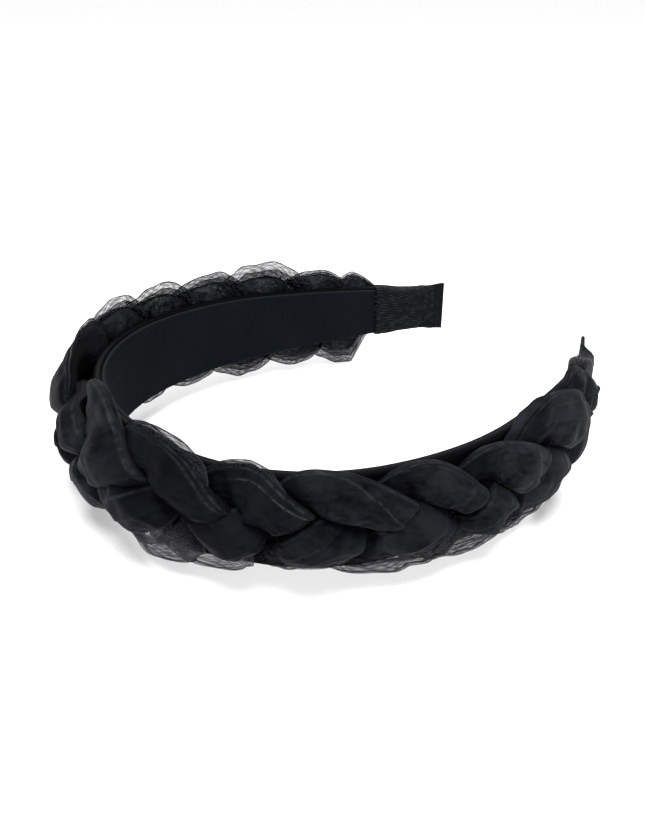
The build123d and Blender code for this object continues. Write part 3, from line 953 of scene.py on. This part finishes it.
def makeLobe(side, place, reach, halfSpan, thin, layer):
    number = strandOf(side, round(place - (0.25 if side > 0 else 0.75)))
    steps = np.linspace(place - halfSpan, place + halfSpan, lobeLook["rings"])[:, None]
    steps = np.clip(steps - lobeLook["layerShift"] * layer, 0.02, stepCount - 0.02)
    swollen = np.clip(np.cos(np.linspace(-1, 1, lobeLook["rings"]) * math.pi / 2), 0, 1)[:, None]
    swollen = swollen ** lobeLook["fullness"]
    angles = (np.arange(lobeLook["around"]) / lobeLook["around"] * 2 * math.pi)[None, :]
    share = 0.75 + 0.25 * np.cos(angles)
    outer = ease((share - 0.65) / 0.35)
    wave = np.sin(steps * (19 + 3 * layer) + 5 * place) + 0.6 * np.sin(steps * 41 + place)
    wavy = 1 + lobeLook["edgeWave"] * np.sin(steps * 31 + place)
    loose = reach * lobeLook["layers"][layer] * swollen * wavy
    upper, lower = petalReach(number, steps)
    upper, lower = (upper + loose, lower) if side > 0 else (upper, lower + loose)
    along, out, sideways = strandPoints(number, steps, side * share, 0.0, strandLook["margin"], upper, lower)
    size = min(1, reach / lobeLook["fullReach"])
    puff = lobeLook["puff"] * size * 4 * outer * (1 - outer) * swollen + lobeLook["thickness"]
    loosened = lobeLook["ruffle"] * wave - lobeLook["sink"]
    out = out + puff * np.sin(angles) + loosened * size * outer * swollen
    sideways = np.maximum(sideways, lobeLook["floorGap"] - middleZ)
    rim = ease((np.cos(angles) - lobeLook["rimStart"]) / lobeLook["rimSpan"]) * np.ones_like(along)
    thinness = np.full_like(along, max(thin, layer))
    marks = {"rim": rim, "thin": thinness, "fromEdge": 3 - 2.6 * rim, "loose": lobeLook["looseness"] * thin}
    lengths = steps[:, 0] * weaveStep / 10
    rounds = np.linspace(0, 2 * (0.6 + reach / 10), lobeLook["around"])
    mesh = tubeMesh("sheerLobe", onBand(along, out, sideways), lengths, rounds, marks)
    mesh.polygons.foreach_set("material_index", np.full(len(mesh.polygons), 1 if thin else 0))
    return number, bpy.data.objects.new("sheerLobe", mesh)


strands = [strandBody(number) for number in range(braid["strands"])]
lobesOf = [[] for strand in strands]
for side, place, reach, halfSpan, thin in sheerLobes:
    for layer in range(len(lobeLook["layers"]) if thin else 1):
        number, lobe = makeLobe(side, place, reach, halfSpan, thin, layer)
        lobe.data.materials.append(denseOrganza)
        lobe.data.materials.append(sheerOrganza)
        lobesOf[number].append(lobe)
for strand, lobes in zip(strands, lobesOf):
    sewOn(strand, lobes)
print("strands and lobes made")

# The ribbon wrapped round each tip, in millimetres
wrap = {
    "innerBulge": 1.5,
    "outerBulge": 0.6,
    "outside": 4.8,
    "pinchStart": 175.5,
    "tabStart": 179.5,
    "tabInside": 0.2,
    "tabThickness": 1.2,
    "startHalfWidth": 9.3,
    "waistHalfWidth": 7.8,
    "waistLength": 11.0,
    "flare": 2.2,
    "flareStart": 173.0,
    "shoulder": {1: 2.4, -1: 0.0},
    "shoulderPlace": 163.0,
    "shoulderSpan": 13.0,
    "cloth": 0.45,
    "rings": 90,
    "ribs": 46,
    "ribRadius": 0.14,
    "ribTwist": 0.10,
    "ribWobble": 0.004,
    "ribPoints": 40,
    "ribEnd": 180.6,
    "stitches": 11,
    "stitchLength": 181.9,
    "stitchHalfSpan": 0.3,
    "seamThreads": 9,
    "seamHalfSpan": 0.85,
    "seamReach": (-0.9, 1.4),
    "seamLean": 0.8,
    "threadSides": 6,
}


# Round a section of the wrap at a length along the right (1) or left (-1) leg: heights and widths,
# inset to the cloth's inner face
def wrapSection(side, along, inset):
    start, end = bandLine["wrapStart"], bandLine["halfLength"]
    bulgeShare = math.sin(math.pi * min(1, (along - start) / (wrap["pinchStart"] - start)))
    pinch = float(ease((along - wrap["pinchStart"]) / (wrap["tabStart"] - wrap["pinchStart"])))
    low = -wrap["innerBulge"] * bulgeShare + wrap["tabInside"] * pinch
    high = wrap["outside"] + wrap["outerBulge"] * bulgeShare
    high += (wrap["tabInside"] + wrap["tabThickness"] - wrap["outside"]) * pinch
    low, high = low + inset, high - inset
    waist = float(ease((along - start) / wrap["waistLength"]))
    half = wrap["startHalfWidth"] + (wrap["waistHalfWidth"] - wrap["startHalfWidth"]) * waist - inset
    outs, acrosses = layerLoop(low, high, half, min(1.6, (high - low) / 2 * 0.9), 10, 40)
    flare = wrap["flare"] * float(ease((along - wrap["flareStart"]) / (end - wrap["flareStart"])))
    shoulder = wrap["shoulder"][side] * float(bell(along - wrap["shoulderPlace"], wrap["shoulderSpan"]))
    return outs, acrosses + (flare + shoulder) * ease(acrosses / half)


# Point at a share of the way round a section
def roundSection(outs, acrosses, share):
    places = np.append(0, np.cumsum(np.hypot(np.diff(outs), np.diff(acrosses))))
    share = np.mod(share, 1) * places[-1]
    return np.interp(share, places, outs), np.interp(share, places, acrosses)


def wrapThreads(side):
    start = bandLine["wrapStart"]
    lines = []
    lengths = np.linspace(start + 0.3, wrap["ribEnd"], wrap["ribPoints"])
    sections = [wrapSection(side, along, 0.0) for along in lengths]
    for rib in range(wrap["ribs"]):
        shares = rib / wrap["ribs"] + wrap["ribTwist"] * (lengths - start) / (wrap["ribEnd"] - start)
        shares = shares + wrap["ribWobble"] * np.sin(lengths * 1.3 + rib * 1.7)
        places = [roundSection(outs, acrosses, share) for (outs, acrosses), share in zip(sections, shares)]
        outs, acrosses = np.array(places).T
        lines.append(onBand(side * lengths, outs, acrosses))
    outs, acrosses = wrapSection(side, wrap["stitchLength"], 0.0)
    for stitch in range(wrap["stitches"]):
        middle = -wrap["waistHalfWidth"] + 1 + stitch * (2 * wrap["waistHalfWidth"] - 1) / wrap["stitches"]
        widths = middle + np.linspace(-wrap["stitchHalfSpan"], wrap["stitchHalfSpan"], 5)
        for face in (outs.min(), outs.max()):
            lines.append(onBand(np.full(5, side * wrap["stitchLength"]), np.full(5, face), widths))
    for thread in range(wrap["seamThreads"]):
        middle = wrap["startHalfWidth"] * wrap["seamHalfSpan"] * (2 * thread / wrap["seamThreads"] - 1)
        lean = wrap["seamLean"] * math.sin(thread * 2.3)
        places = np.linspace(*wrap["seamReach"], 7)
        heights = -0.25 - 0.35 * np.cos(places * 1.1)
        lines.append(onBand(side * (start + places), heights, middle + lean * places))
    return makeThreads("wrapThreads", lines, wrap["ribRadius"], wrap["threadSides"])


def makeWrap(name, side):
    lengths = np.linspace(bandLine["wrapStart"], bandLine["halfLength"], wrap["rings"])
    sections = [(along, wrapSection(side, along, 0.0)) for along in lengths]
    sections += [(along, wrapSection(side, along, wrap["cloth"])) for along in lengths[::-1]]
    points = np.array([onBand(np.full_like(outs, side * along), outs, acrosses)
                       for along, (outs, acrosses) in sections])
    places = np.array([along for along, section in sections]) / 10
    mesh = tubeMesh(name, points, places, np.linspace(0, 4.4, points.shape[1]), joined=True)
    return sewOn(addPiece(name, mesh, [ribbonCloth, blackThread]), [wrapThreads(side)])


wraps = {"end_wrap_right": makeWrap("ribbonWrapRight", 1), "end_wrap_left": makeWrap("ribbonWrapLeft", -1)}
print("ribbon wraps made")

for piece, node, slot in (
    (lining, "lining", "lining"),
    (satin, "core_band", "satin"),
    (wraps["end_wrap_right"], "end_wrap_right", "ribbon"),
    (wraps["end_wrap_left"], "end_wrap_left", "ribbon"),
    *((strand, f"strand_{number + 1}", "organza") for number, strand in enumerate(strands)),
):
    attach(piece, "root")
    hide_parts(node)
print("pieces riding on the frame")

# The photo's view, in millimetres and degrees, aimed from the crown's inner face
view = {
    "azimuth": -37.49,
    "elevation": 28.15,
    "distance": 259.8,
    "aim": (53.30, -10.79, 0.0),
    "focalPixels": 899.8,
    "longSidePixels": 838,
}


def makeCamera():
    data = bpy.data.cameras.new("photoCamera")
    camera = bpy.data.objects.new("photoCamera", data)
    bpy.context.scene.collection.objects.link(camera)
    data.sensor_width = 36.0
    data.lens = data.sensor_width * view["focalPixels"] / view["longSidePixels"]
    data.clip_start, data.clip_end = 0.01, 20
    azimuth, elevation = math.radians(view["azimuth"]), math.radians(view["elevation"])
    aim = np.array(view["aim"]) + (crownX, middleY, middleZ)
    back = np.array([math.sin(azimuth) * math.cos(elevation), -math.cos(azimuth) * math.cos(elevation),
                     math.sin(elevation)])
    camera.location = (aim + back * view["distance"]) * mm
    camera.rotation_euler = (math.pi / 2 - elevation, 0, azimuth)
    bpy.context.scene.camera = camera


studio = {"floorSize": 6.0, "floorTone": (0.94, 0.94, 0.945), "worldStrength": 1.02}


def makeStudio():
    mesh = bpy.data.meshes.new("paleFloor")
    half = studio["floorSize"] / 2
    corners = [(-half, -half, 0), (half, -half, 0), (half, half, 0), (-half, half, 0)]
    mesh.from_pydata(corners, [], [(0, 1, 2, 3)])
    material, shader = newMaterial("paleFloor")
    shader.inputs["Base Color"].default_value = (*studio["floorTone"], 1)
    shader.inputs["Roughness"].default_value = 0.9
    shader.inputs["Specular IOR Level"].default_value = 0.1
    floor = addPiece("paleFloor", mesh, [material])
    floor.location.z = -0.0002
    world = bpy.data.worlds.new("softStudio")
    world.use_nodes = True
    background = world.node_tree.nodes["Background"]
    background.inputs["Color"].default_value = (1, 1, 1, 1)
    background.inputs["Strength"].default_value = studio["worldStrength"]
    bpy.context.scene.world = world
    bpy.context.scene.view_settings.view_transform = "Standard"


# Soft lamps: place in metres, size in metres, power in watts
softLamps = [
    ("overheadLamp", (-0.25, -0.35, 0.8), 0.35, 8.0),
    ("backLamp", (0.35, 0.6, 0.6), 0.4, 4.0),
]


def makeLamps():
    for name, place, size, power in softLamps:
        data = bpy.data.lights.new(name, "AREA")
        data.shape, data.size, data.energy = "DISK", size, power
        lamp = bpy.data.objects.new(name, data)
        bpy.context.scene.collection.objects.link(lamp)
        lamp.location = place
        toward = np.array([0, 0, 0.02]) - place
        lamp.rotation_euler = (math.atan2(math.hypot(toward[0], toward[1]), -toward[2]), 0,
                               math.atan2(-toward[0], toward[1]))


makeCamera()
makeStudio()
makeLamps()
print("camera and studio made")
